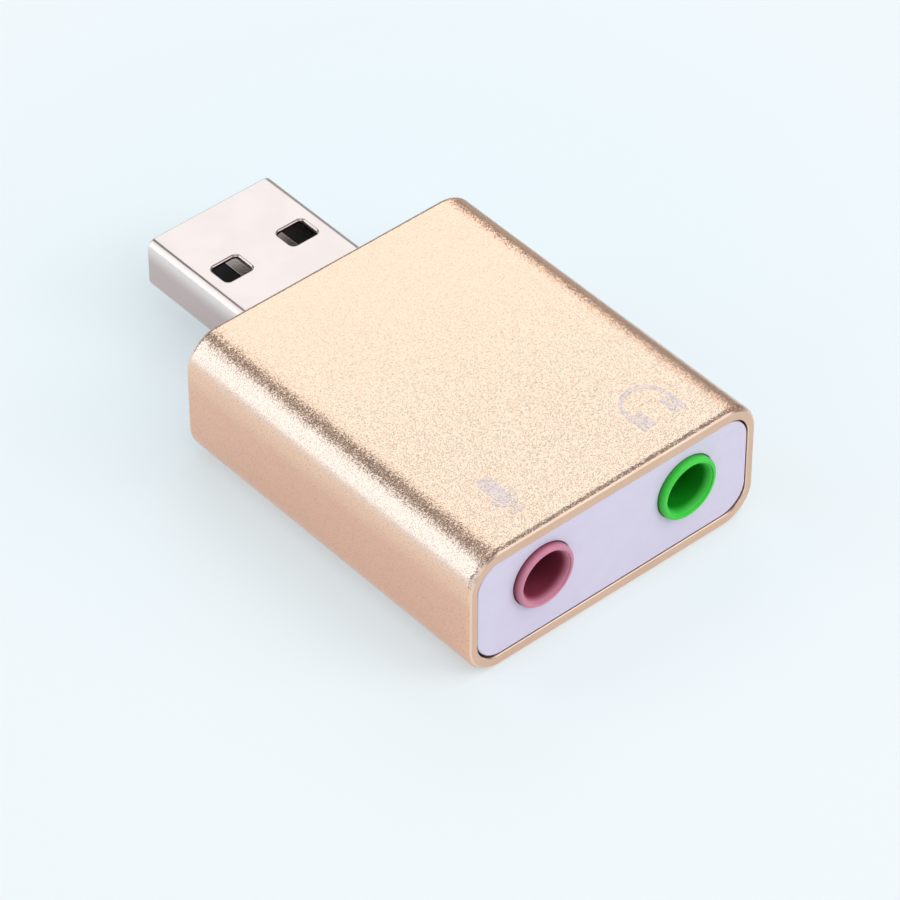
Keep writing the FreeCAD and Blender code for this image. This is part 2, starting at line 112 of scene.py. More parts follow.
class Graph:
    """The node graph of one material."""

    def __init__(self, name: str) -> None:
        """Starts a material with an empty graph.

        Args:
            name: the material's name.
        """
        self.material = bpy.data.materials.new(name)
        self.material.use_nodes = True
        self.tree = self.material.node_tree
        self.tree.nodes.clear()

    def node(self, kind: str, settings: Settings = None, inputs: Inputs = None) -> bpy.types.Node:
        """Adds a node.

        Args:
            kind: the node's type.
            settings: the node's own properties, which are set first.
            inputs: values or tones for its inputs, by identifier or index.

        Returns:
            The node.
        """
        node = self.tree.nodes.new(kind)
        for key, value in (settings or {}).items():
            setattr(node, key, value)
        for key, value in (inputs or {}).items():
            socket = self._find(node.inputs, key)
            if isinstance(value, Tone):
                self.tree.links.new(value.socket, socket)
            else:
                socket.default_value = value
        return node

    def tone(
        self, kind: str, settings: Settings = None, inputs: Inputs = None, output: str | int = 0
    ) -> Tone:
        """Adds a node and takes one of its outputs, by identifier or index."""
        return Tone(self, self._find(self.node(kind, settings, inputs).outputs, output))

    @staticmethod
    def _find(sockets: bpy.types.bpy_prop_collection, key: str | int) -> bpy.types.NodeSocket:
        """Finds a socket by its index or its identifier, which is unique where names repeat."""
        named = (socket for socket in sockets if socket.identifier == key)
        return sockets[key] if isinstance(key, int) else next(named)

    def place(self, stretch: Point = (1.0, 1.0, 1.0), centre: Point = (0.0, 0.0, 0.0)) -> Tone:
        """The place on the piece, in its own coordinates.

        Args:
            stretch: how much each axis is scaled.
            centre: the point that becomes the origin.

        Returns:
            The mapped coordinates.
        """
        coordinates = self.tone("ShaderNodeTexCoord", output="Object")
        shift = tuple(-c * s for c, s in zip(centre, stretch))
        inputs = {"Vector": coordinates, "Location": shift, "Scale": stretch}
        return self.tone("ShaderNodeMapping", None, inputs)

    def axes(self, place: Tone) -> tuple[Tone, ...]:
        """Takes coordinates apart into X, Y and Z."""
        parts = self.node("ShaderNodeSeparateXYZ", None, {0: place})
        return tuple(Tone(self, parts.outputs[axis]) for axis in "XYZ")

    def noise(self, place: Tone, size: float, detail: float = 2.0, roughness: float = 0.5) -> Tone:
        """A soft random value from 0 to 1, in patches of a size that finer layers break up."""
        inputs = {"Vector": place, "Scale": 1 / size, "Detail": detail, "Roughness": roughness}
        return self.tone("ShaderNodeTexNoise", None, inputs)

    def step(self, value: Tone, low: float, high: float) -> Tone:
        """A mask that rises smoothly from 0 where a value is low to 1 where it is high."""
        inputs = {"Value": value, "From Min": low, "From Max": high}
        return self.tone("ShaderNodeMapRange", {"interpolation_type": "SMOOTHSTEP"}, inputs)

    def band(self, value: Tone, limits: Limits) -> Tone:
        """A mask that rises between the first two limits and falls between the last two."""
        return self.step(value, *limits[:2]) * (1 - self.step(value, *limits[2:]))

    def mix(self, mask: Tone, first: "Tone | Colour", second: "Tone | Colour") -> Tone:
        """Mixes two colours: a mask of 0 gives the first and 1 the second."""
        inputs = {"Factor_Float": mask, "A_Color": first, "B_Color": second}
        return self.tone("ShaderNodeMix", {"data_type": "RGBA"}, inputs, "Result_Color")

    def bump(self, height: Tone, depth: float) -> Tone:
        """The normal of a fine relief, where a height of 1 stands out by the depth."""
        return self.tone("ShaderNodeBump", None, {"Distance": depth, "Height": height})

    def flaked(self, normal: Tone, place: Tone, size: float, lean: Tone) -> Tone:
        """Tilts a normal at random, flake by flake.

        Args:
            normal: the normal to tilt.
            place: the coordinates.
            size: the size of a flake, in metres.
            lean: how far the flakes lean.

        Returns:
            The tilted normal.
        """
        kind = "ShaderNodeVectorMath"
        inputs = {"Vector": place, "Scale": 1 / size}
        flakes = self.tone("ShaderNodeTexVoronoi", None, inputs, "Color")
        centred = self.tone(kind, {"operation": "SUBTRACT"}, {0: flakes, 1: (0.5, 0.5, 0.5)}, "Vector")
        leant = self.tone(kind, {"operation": "SCALE"}, {0: centred, "Scale": lean}, "Vector")
        tilted = self.tone(kind, {"operation": "ADD"}, {0: normal, 1: leant}, "Vector")
        return self.tone(kind, {"operation": "NORMALIZE"}, {0: tilted}, "Vector")

    def shown(self) -> Tone:
        """Finds what the camera, a gloss or a clear piece shows.

        Returns:
            A mask that is 1 there, and 0 for light that only bounces.
        """
        path = self.node("ShaderNodeLightPath")
        rays = ("Is Camera Ray", "Is Glossy Ray", "Is Transmission Ray")
        camera, gloss, clear = (Tone(self, path.outputs[ray]) for ray in rays)
        return camera + gloss + clear

    def surface(
        self, inputs: Inputs, glow_colour: Colour = (1.0, 1.0, 1.0, 1.0), glow: float = 0.0
    ) -> Material:
        """Ends the graph with a surface shader.

        Args:
            inputs: values or tones for the shader's inputs.
            glow_colour: the colour of a glow that is only shown and lights nothing.
            glow: the glow's share.

        Returns:
            The finished material.
        """
        shader = self.tone("ShaderNodeBsdfPrincipled", None, inputs)
        if glow:
            share = self.shown() * glow
            light = self.tone("ShaderNodeEmission", None, {"Color": glow_colour})
            shader = self.tone("ShaderNodeMixShader", None, {0: share, 1: shader, 2: light})
        self.node("ShaderNodeOutputMaterial", None, {"Surface": shader})
        return self.material


class Brushing(Enum):
    """How a metal's fine marks run, as the scale of each axis in the pattern."""

    NONE = (1.0, 1.0, 1.0)
    ALONG_Y = (1.0, 0.03, 1.0)
    ALONG_Z = (1.0, 1.0, 0.05)


@dataclass(frozen=True)
class Finish:
    """What every finish has: a name, and one material that is made when it is first asked for."""

    name: str

    def material(self) -> Material:
        """Gives the finish's material."""
        return bpy.data.materials.get(self.name) or self.make()

    def make(self) -> Material:
        """Builds the material, which each kind of finish does in its own way."""
        raise NotImplementedError


@dataclass(frozen=True)
class BlastedMetal(Finish):
    """Bead-blasted, anodised aluminium: a glittering grain, small pits and a slow drift of tone.

    The left edge is flaked and has a painted highlight, and a painted dark band at its front; the
    right edge glints; the right edge and the left side have a deeper painted shade, deeper still
    low on the sides; and the top is calmer and warmer towards the back. Places named across lie
    along X, those named along lie along Y, and those named below lie along Z.
    """

    colour: Colour = (0.905, 0.665, 0.52, 1.0)
    warm_colour: Colour = (0.925, 0.635, 0.478, 1.0)
    warm_share: float = 0.9
    drift_share: float = 0.1
    drift_size: float = 7.0 * MM
    drift_range: Pair = (0.3, 0.7)
    # Painted highlight: a paler colour where the left edge's highlight falls.
    painted_highlight_colour: Colour = (0.93, 0.735, 0.64, 1.0)
    painted_highlight_across: Limits = (-13.65 * MM, -13.2 * MM, -12.4 * MM, -11.8 * MM)
    # Painted shade: a deeper colour on the right edge and on the left side.
    painted_side_shade_colour: Colour = (0.94, 0.60, 0.43, 1.0)
    painted_side_shade_across: Pair = (10.6 * MM, 11.3 * MM)
    side_across: Pair = (13.2 * MM, 13.6 * MM)
    # Painted shade: the outside goes deeper in colour low down.
    low_painted_shade_colour: Colour = (0.885, 0.515, 0.37, 1.0)
    low_painted_shade_below: Pair = (6.8 * MM, 8.4 * MM)
    metallic: float = 1.0
    roughness: float = 0.11
    pit_roughness: float = 0.06
    drift_roughness: float = 0.02
    grain_size: float = 0.09 * MM
    grain_depth: float = 0.038 * MM
    grain_share: float = 0.6
    # Colour of the pits, and of the painted dark band at the front of the left edge.
    pit_and_painted_shade_colour: Colour = (0.50, 0.36, 0.28, 1.0)
    pit_size: float = 0.09 * MM
    pit_range: Pair = (0.61, 0.72)
    pit_share: float = 0.32
    pit_strength: float = 0.25
    side_pits: float = 0.15
    # Painted shade: a dark band, with darker pits, along the front of the left edge.
    painted_band_pits: float = 0.55
    painted_band_shade: float = 0.22
    painted_band_across: Limits = (-12.6 * MM, -12.2 * MM, -11.2 * MM, -10.6 * MM)
    flake_size: float = 0.085 * MM
    flake_lean: float = 0.27
    flake_across: Pair = (-13.1 * MM, -12.3 * MM)
    glint_lean: float = 0.26
    glint_across: Limits = (10.3 * MM, 10.9 * MM, 11.6 * MM, 12.1 * MM)
    rim_lean: float = 0.45
    rim_along: Pair = (-22.2 * MM, -21.8 * MM)
    edge_calm: float = 0.35
    calm: float = 0.68
    calm_along: Pair = (-17.0 * MM, 7.0 * MM)
    calm_slant: float = 0.4
    calm_across: Pair = (-11.6 * MM, -9.6 * MM)

    def make(self) -> Material:
        """Builds the grained metal.

        Returns:
            The material.
        """
        graph = Graph(self.name)
        place = graph.place()
        x, y, z = graph.axes(place)
        back = graph.step(y + x * self.calm_slant, *self.calm_along)
        top = graph.step(x, *self.calm_across)
        grain = graph.noise(place, self.grain_size, detail=0.5)
        pits = graph.step(graph.noise(place, self.pit_size, detail=0.0), *self.pit_range)
        drift = graph.step(graph.noise(place, self.drift_size), *self.drift_range)
        cool = top * (1 - back * self.warm_share - drift * self.drift_share)
        plain = graph.mix(1 - cool, self.colour, self.warm_colour)
        # Painted shade: the right edge and the left side are deepened.
        edges = graph.step(x, *self.painted_side_shade_across) + graph.step(0 - x, *self.side_across)
        edged = graph.mix(edges, plain, self.painted_side_shade_colour)
        # Painted highlight: the left edge is paler where its highlight falls.
        upper = graph.mix(graph.band(x, self.painted_highlight_across), edged, self.painted_highlight_colour)
        # Painted shade: a deeper colour low on the outside.
        ground = graph.mix(1 - graph.step(z, *self.low_painted_shade_below), upper, self.low_painted_shade_colour)
        strength = 1 - (1 - top) * self.edge_calm - back * top * self.calm
        relief = (grain * self.grain_share - pits * self.pit_share) * strength
        # Painted shade: the left edge's dark band, strongest at the front, darkens the pits and the
        # colour.
        painted_band_mask = graph.band(x, self.painted_band_across) * (1 - back) * (1 - back)
        dark = pits * ((1 - top) * self.side_pits + self.pit_strength)
        dark = dark + painted_band_mask * (pits * self.painted_band_pits + self.painted_band_shade)
        left = (1 - top) * graph.step(x, *self.flake_across)
        right = graph.band(x, self.glint_across)
        front = 1 - graph.step(y, *self.rim_along)
        lean = left * self.flake_lean + right * self.glint_lean + front * self.rim_lean
        grained = graph.bump(relief, self.grain_depth)
        rough = pits * self.pit_roughness + drift * self.drift_roughness
        return graph.surface(
            {
                "Base Color": graph.mix(dark, ground, self.pit_and_painted_shade_colour),
                "Metallic": self.metallic,
                "Roughness": self.roughness + rough,
                "Normal": graph.flaked(grained, place, self.flake_size, lean),
            }
        )


@dataclass(frozen=True)
class PlatedMetal(Finish):
    """Smooth metal with faint marks of how it was worked: plate, tinned strip, turned edges, foil."""

    colour: Colour
    shade: Colour
    roughness: float
    mark_size: float = 0.15 * MM
    mark_depth: float = 0.0015 * MM
    mark_share: float = 0.4
    mark_roughness: float = 0.08
    cloud_size: float = 3.0 * MM
    cloud_range: Pair = (0.35, 0.65)
    cloud_share: float = 0.6
    cloud_roughness: float = 0.03
    brushing: Brushing = Brushing.NONE

    def make(self) -> Material:
        """Builds the metal.

        Returns:
            The material.
        """
        graph = Graph(self.name)
        along = graph.place(self.brushing.value)
        marks = graph.noise(along, self.mark_size, detail=3.0, roughness=0.6)
        clouds = graph.noise(graph.place(), self.cloud_size, detail=3.0)
        cloud = graph.step(clouds, *self.cloud_range)
        wear = cloud * self.cloud_share + marks * self.mark_share
        rough = marks * self.mark_roughness + cloud * self.cloud_roughness
        return graph.surface(
            {
                "Base Color": self.ground(graph, wear),
                "Metallic": 1.0,
                "Roughness": self.roughness + rough,
                "Normal": graph.bump(marks, self.mark_depth),
            }
        )

    def ground(self, graph: Graph, wear: Tone) -> Tone:
        """The metal's colour, which goes over to its shade with wear."""
        return graph.mix(wear, self.colour, self.shade)


@dataclass(frozen=True)
class FoldedMetal(PlatedMetal):
    """Folded plated sheet: a painted highlight on its folds, painted shade low on its sides."""

    # Painted highlight on the folds, painted shade low on the sides.
    painted_fold_highlight_colour: Colour = (0.86, 0.76, 0.735, 1.0)
    low_painted_shade_colour: Colour = (0.595, 0.475, 0.45, 1.0)
    side_across: Pair = (5.6 * MM, 5.8 * MM)
    low_painted_shade_below: Pair = (5.2 * MM, 6.95 * MM)

    def ground(self, graph: Graph, wear: Tone) -> Tone:
        """The colour, with painted highlight on the folds and painted shade low on the sides.

        Args:
            graph: the material's graph.
            wear: how far the colour of the flat faces goes over to its shade.

        Returns:
            The colour.
        """
        x, _, z = graph.axes(graph.place())
        sides = graph.step(x, *self.side_across) + graph.step(0 - x, *self.side_across)
        # Painted highlight high on the folds, going over to painted shade low on the sides.
        low = 1 - graph.step(z, *self.low_painted_shade_below)
        folded = graph.mix(low, self.painted_fold_highlight_colour, self.low_painted_shade_colour)
        return graph.mix(sides, super().ground(graph, wear), folded)


@dataclass(frozen=True)
class MouldedPlastic(Finish):
    """Moulded plastic: a faint mottle, a fine spark-eroded skin and a soft gloss."""

    colour: Colour
    shade: Colour
    roughness: float = 0.38
    gloss: float = 0.5
    skin_size: float = 0.12 * MM
    skin_depth: float = 0.0012 * MM
    skin_roughness: float = 0.10
    mottle_size: float = 1.6 * MM
    mottle_range: Pair = (0.3, 0.7)

    def make(self) -> Material:
        """Builds the plastic.

        Returns:
            The material.
        """
        graph = Graph(self.name)
        place = graph.place()
        skin = graph.noise(place, self.skin_size, detail=2.0)
        return graph.surface(
            {
                "Base Color": self.ground(graph, place),
                "Roughness": self.roughness + skin * self.skin_roughness,
                "Specular IOR Level": self.gloss,
                "Normal": graph.bump(skin, self.skin_depth),
            }
        )

    def ground(self, graph: Graph, place: Tone) -> Tone:
        """The mottled colour at a place."""
        mottle = graph.step(graph.noise(place, self.mottle_size, detail=3.0), *self.mottle_range)
        return graph.mix(mottle, self.colour, self.shade)


@dataclass(frozen=True)
class GradedPlastic(MouldedPlastic):
    """Plastic that goes over to another colour along Y; in a socket, painted shade deepening inwards.
    """

    end_colour: Colour = (0.01, 0.01, 0.01, 1.0)
    start_y: float = -22.95 * MM
    end_y: float = -22.2 * MM

    def ground(self, graph: Graph, place: Tone) -> Tone:
        """The mottled colour, mixed towards the end colour by the place along Y."""
        # In a socket, the end colour is painted shade that deepens from the mouth inwards.
        depth = graph.step(graph.axes(place)[1], self.start_y, self.end_y)
        return graph.mix(depth, super().ground(graph, place), self.end_colour)


@dataclass(frozen=True)
class BoardLaminate(Finish):
    """Circuit board: glass cloth under a green mask, with paler tracks."""

    mask_colour: Colour = (0.012, 0.11, 0.045, 1.0)
    track_colour: Colour = (0.03, 0.20, 0.08, 1.0)
    track_pitch: float = 1.27 * MM
    track_spread: float = 0.6
    track_range: Pair = (0.05, 0.09)
    track_share: float = 0.8
    weave_size: float = 0.45 * MM
    weave_share: float = 0.2
    weave_relief: float = 0.3
    relief_depth: float = 0.02 * MM
    roughness: float = 0.28
    weave_roughness: float = 0.12

    def make(self) -> Material:
        """Builds the laminate.

        Returns:
            The material.
        """
        graph = Graph(self.name)
        place = graph.place()
        inputs = {"Vector": place, "Scale": 1 / self.track_pitch, "Randomness": self.track_spread}
        cells = graph.tone("ShaderNodeTexVoronoi", {"feature": "DISTANCE_TO_EDGE"}, inputs, "Distance")
        tracks = 1 - graph.step(cells, *self.track_range)
        weave = graph.noise(place, self.weave_size, detail=1.0)
        pale = tracks * self.track_share + weave * self.weave_share
        return graph.surface(
            {
                "Base Color": graph.mix(pale, self.mask_colour, self.track_colour),
                "Roughness": self.roughness + weave * self.weave_roughness,
                "Normal": graph.bump(tracks + weave * self.weave_relief, self.relief_depth),
            }
        )


@dataclass(frozen=True)
class PaintedFloor(Finish):
    """The pale floor: a tint and a glow that are only shown, over paint that lights plainly."""

    bounce_colour: Colour = (0.87, 0.85, 0.835, 1.0)
    near_colour: Colour = (0.845, 0.915, 0.945, 1.0)
    far_colour: Colour = (0.92, 0.925, 0.935, 1.0)
    glow_colour: Colour = (0.83, 0.93, 0.97, 1.0)
    glow: float = 0.5
    roughness: float = 0.85
    gloss: float = 0.1
    centre: Point = (9.0 * MM, 10.0 * MM, 0.0)
    fade_start: float = 15.0 * MM
    fade_end: float = 58.0 * MM

    def make(self) -> Material:
        """Builds the paint.

        Returns:
            The material.
        """
        graph = Graph(self.name)
        place = graph.place(centre=self.centre)
        distance = graph.tone("ShaderNodeVectorMath", {"operation": "LENGTH"}, {0: place}, "Value")
        fade = graph.step(distance, self.fade_start, self.fade_end)
        tint = graph.mix(fade, self.near_colour, self.far_colour)
        paint = {
            "Base Color": graph.mix(graph.shown(), self.bounce_colour, tint),
            "Roughness": self.roughness,
            "Specular IOR Level": self.gloss,
        }
        return graph.surface(paint, self.glow_colour, self.glow)


BLASTED_GOLD = BlastedMetal("blasted_gold")
MACHINED_GOLD = PlatedMetal(
    "machined_gold",
    colour=(0.815, 0.55, 0.405, 1.0),
    shade=(0.775, 0.52, 0.38, 1.0),
    roughness=0.28,
    mark_depth=0.0008 * MM,
)
CUT_GOLD = PlatedMetal(
    "cut_gold",
    colour=(0.93, 0.70, 0.54, 1.0),
    shade=(0.90, 0.67, 0.515, 1.0),
    roughness=0.24,
    mark_depth=0.0004 * MM,
)
NICKEL = FoldedMetal(
    "plug_nickel",
    colour=(0.79, 0.665, 0.635, 1.0),
    shade=(0.75, 0.63, 0.60, 1.0),
    roughness=0.10,
    mark_size=0.10 * MM,
    brushing=Brushing.ALONG_Y,
)
CONTACT = PlatedMetal(
    "contact_strip",
    colour=(0.78, 0.74, 0.70, 1.0),
    shade=(0.62, 0.58, 0.54, 1.0),
    roughness=0.22,
    mark_size=0.08 * MM,
    brushing=Brushing.ALONG_Y,
)
TINNED = PlatedMetal(
    "tinned_strip", colour=(0.76, 0.76, 0.75, 1.0), shade=(0.60, 0.60, 0.60, 1.0), roughness=0.30
)
CAN_FOIL = PlatedMetal(
    "can_foil",
    colour=(0.84, 0.84, 0.85, 1.0),
    shade=(0.72, 0.72, 0.74, 1.0),
    roughness=0.26,
    brushing=Brushing.ALONG_Z,
)
PANEL_WHITE = MouldedPlastic(
    "panel_white", colour=(0.72, 0.685, 0.855, 1.0), shade=(0.70, 0.665, 0.84, 1.0), roughness=0.40
)
SOCKET_GREEN = GradedPlastic(
    "socket_green",
    colour=(0.062, 0.68, 0.07, 1.0),
    shade=(0.052, 0.63, 0.06, 1.0),
    roughness=0.36,
    gloss=0.3,
    # Painted shade: the socket darkens from its mouth inwards.
    end_colour=(0.006, 0.27, 0.012, 1.0),
)
SOCKET_PINK = GradedPlastic(
    "socket_pink",
    colour=(0.64, 0.255, 0.36, 1.0),
    shade=(0.60, 0.23, 0.33, 1.0),
    roughness=0.40,
    gloss=0.35,
    # Painted shade: the socket darkens from its mouth inwards.
    end_colour=(0.23, 0.034, 0.064, 1.0),
    end_y=-22.35 * MM,
)
BLACK_MOULDING = MouldedPlastic(
    "black_moulding", colour=(0.012, 0.012, 0.013, 1.0), shade=(0.02, 0.019, 0.019, 1.0), roughness=0.42
)
PALE_CERAMIC = MouldedPlastic(
    "pale_fired", colour=(0.62, 0.57, 0.48, 1.0), shade=(0.55, 0.50, 0.42, 1.0), roughness=0.25
)
TAN_CERAMIC = MouldedPlastic(
    "tan_fired", colour=(0.36, 0.24, 0.14, 1.0), shade=(0.30, 0.19, 0.11, 1.0), roughness=0.30
)
CARD_GREY = GradedPlastic(
    "card_grey",
    colour=(0.285, 0.26, 0.24, 1.0),
    shade=(0.27, 0.245, 0.225, 1.0),
    roughness=0.7,
    end_colour=(0.47, 0.45, 0.42, 1.0),
    start_y=2.0 * MM,
    end_y=19.0 * MM,
)
LAMINATE = BoardLaminate("board_mask")
INK = BlastedMetal(
    "pictogram_ink",
    colour=(0.755, 0.60, 0.565, 1.0),
    warm_colour=(0.76, 0.595, 0.555, 1.0),
    metallic=0.9,
    roughness=0.16,
)
FLOOR_PAINT = PaintedFloor("floor_paint")


class Axis(Enum):
    """An axis of the frame, by its number in a vector."""

    X = 0
    Y = 1
    Z = 2


class Rounding(Enum):
    """What is rounded: edges, or the corners of a flat outline."""

    EDGES = "EDGES"
    CORNERS = "VERTICES"


class SleeveFace(Enum):
    """The kinds of face on the sleeve, with the finish of each."""

    OUTSIDE = BLASTED_GOLD
    RIM_OR_BORE = MACHINED_GOLD
    CHAMFER = CUT_GOLD


class WallSide(Enum):
    """The sides of the sleeve's wall, by whether they look away from its middle or towards it."""

    OUTER = 1
    INNER = -1


def block(form: Form, low: Vector, high: Vector) -> list[Vert]:
    """Adds a block between its lowest and its highest corner, and gives its corners."""
    place = Matrix.Translation((low + high) / 2) @ Matrix.Diagonal((*(high - low), 1.0))
    return bmesh.ops.create_cube(form, size=1.0, matrix=place)["verts"]


def closed(form: Form) -> None:
    """Merges a form's doubled corners and turns its faces outwards."""
    bmesh.ops.remove_doubles(form, verts=form.verts, dist=MERGE_DISTANCE)
    bmesh.ops.recalc_face_normals(form, faces=form.faces)


def rounded(
    form: Form, geometry: list, radius: float, segments: int, what: Rounding = Rounding.EDGES
) -> None:
    """Rounds some edges or corners of a form, and brings its faces' normals up to date.

    Args:
        form: the mesh.
        geometry: the edges or the corners.
        radius: how far the round reaches from each of them.
        segments: how many faces it has.
        what: which of the two are rounded.
    """
    bmesh.ops.bevel(
        form,
        geom=geometry,
        offset=radius,
        offset_type="OFFSET",
        segments=segments,
        profile=0.5,
        affect=what.value,
        material=-1,
    )
    form.normal_update()


def new_faces(form: Form, known: set[Face]) -> list[Face]:
    """The faces of a form that aren't among those already known."""
    return [face for face in form.faces if face not in known]


def edges_along(verts: list[Vert], axis: Axis, aligned: float = 0.999) -> list[Edge]:
    """The edges between some vertices that run along one axis.

    Args:
        verts: the vertices.
        axis: the axis.
        aligned: the share of an edge's length that lies along the axis.

    Returns:
        The edges.
    """
    chosen = set(verts)
    touching = dict.fromkeys(edge for vert in verts for edge in vert.link_edges)
    edges = [edge for edge in touching if chosen.issuperset(edge.verts)]
    spans = [(edge, edge.verts[0].co - edge.verts[1].co) for edge in edges]
    return [edge for edge, span in spans if abs(span[axis.value]) > aligned * span.length]


def extruded(form: Form, edges: list[Edge]) -> tuple[list[Vert], list[Edge]]:
    """Extrudes a loop of edges.

    Args:
        form: the mesh.
        edges: the loop.

    Returns:
        The corners of the new loop, which still lie on the old ones, and its edges.
    """
    made = bmesh.ops.extrude_edge_only(form, edges=edges)["geom"]
    verts = [item for item in made if isinstance(item, Vert)]
    chosen = set(verts)
    loop = [item for item in made if isinstance(item, Edge) and chosen.issuperset(item.verts)]
    return verts, loop


def drawn_in(
    form: Form, loop: list[Edge], corner: Vector, radius: float, steps: list[Pair], along: Vector
) -> None:
    """Extrudes a rounded outline step by step, drawing its corners in and moving the whole on.

    Args:
        form: the mesh.
        loop: the outline's edges, about a middle that lies in its plane.
        corner: how far a corner's centre lies from the middle, along the two axes of the plane.
        radius: the radius of its corners.
        steps: for each step, how far in and how far on it is from the outline.
        along: the direction in which it moves on, along Y or Z.
    """
    inset, reached = 0.0, 0.0
    for next_inset, next_reach in steps:
        verts, loop = extruded(form, loop)
        middle = sum((vert.co for vert in verts), Vector()) / len(verts)
        ratio = (radius - next_inset) / (radius - inset)
        shrink = [1.0 if part else ratio for part in along]
        for across in SIDES:
            for up in SIDES:
                sides = Vector((across, up, 0.0) if along.z else (across, 0.0, up))
                place = Matrix.Translation(-(middle + sides * corner))
                group = [v for v in verts if all((v.co - middle)[i] * sides[i] >= 0 for i in range(3))]
                bmesh.ops.scale(form, vec=shrink, space=place, verts=group)
        bmesh.ops.translate(form, vec=along * (next_reach - reached), verts=verts)
        inset, reached = next_inset, next_reach


def set_up(name: str, form: Form, finishes: list[Finish]) -> Piece:
    """Turns a form into an object of the scene.

    Args:
        name: the object's name.
        form: its mesh, which is used up.
        finishes: its finishes, in the order of its faces' material numbers.

    Returns:
        The object.
    """
    mesh = bpy.data.meshes.new(name)
    form.to_mesh(mesh)
    form.free()
    for finish in finishes:
        mesh.materials.append(finish.material())
    thing = bpy.data.objects.new(name, mesh)
    bpy.context.scene.collection.objects.link(thing)
    return thing


@dataclass(frozen=True)
class EdgeBreak:
    """How far and how finely a piece's sharp edges are rounded."""

    width: float
    segments: int = 3
    angle: float = math.radians(33)


class SubAssembly:
    """Pieces that belong together, and what every piece goes through."""

    def build(self) -> list[Piece]:
        """Builds and dresses the pieces, which each sub-assembly does in its own way."""
        raise NotImplementedError

    @staticmethod
    def piece(
        name: str, form: Form, finishes: list[Finish], slot: str, nodes: list[str] | None = None
    ) -> Piece:
        """Turns a finished form into a piece of the object.

        Args:
            name: the piece's name.
            form: its mesh, which is used up.
            finishes: its finishes, in the order of its faces' material numbers.
            slot: the record's material slot; not used.
            nodes: the solids that the piece stands for.

        Returns:
            The piece, smooth, dressed and riding on the body.
        """
        piece = set_up(name, form, finishes)
        attributes = piece.data.attributes
        for leftover in ("custom_normal", "sharp_edge", "sharp_face"):
            if leftover in attributes:
                attributes.remove(attributes[leftover])
        piece.data.shade_smooth()
        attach(piece, BODY)
        if nodes:
            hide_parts(*nodes)
        return piece

    @staticmethod
    def flattened(piece: Piece) -> Piece:
        """Lets a piece's large faces shade flat, up to their rounded or sharp edges."""
        piece.modifiers.new("flat_faces", "WEIGHTED_NORMAL").keep_sharp = True
        return piece

    @staticmethod
    def copied(node: str) -> Form:
        """Copies a solid's mesh and makes each of its flat faces whole.

        Args:
            node: the solid.

        Returns:
            The copy.
        """
        form = bmesh.new()
        form.from_mesh(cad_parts[node].data)
        closed(form)
        bmesh.ops.dissolve_limit(
            form,
            angle_limit=FLAT_ANGLE,
            use_dissolve_boundaries=False,
            verts=form.verts,
            edges=form.edges,
            delimit=set(),
        )
        for face in form.faces:
            face.material_index = 0
        return form

    @classmethod
    def softened(cls, node: str, name: str, finish: Finish, slot: str, edges: EdgeBreak) -> Piece:
        """Stands a piece in for a solid, with the same form and rounded edges.

        Args:
            node: the solid.
            name: the piece's name.
            finish: its finish.
            slot: the record's material slot.
            edges: how its sharp edges are rounded.

        Returns:
            The piece.
        """
        piece = cls.piece(name, cls.copied(node), [finish], slot, [node])
        rounding = piece.modifiers.new("edges", "BEVEL")
        rounding.width = edges.width
        rounding.segments = edges.segments
        rounding.limit_method = "ANGLE"
        rounding.angle_limit = edges.angle
        rounding.use_clamp_overlap = False
        rounding.loop_slide = False
        return cls.flattened(piece)


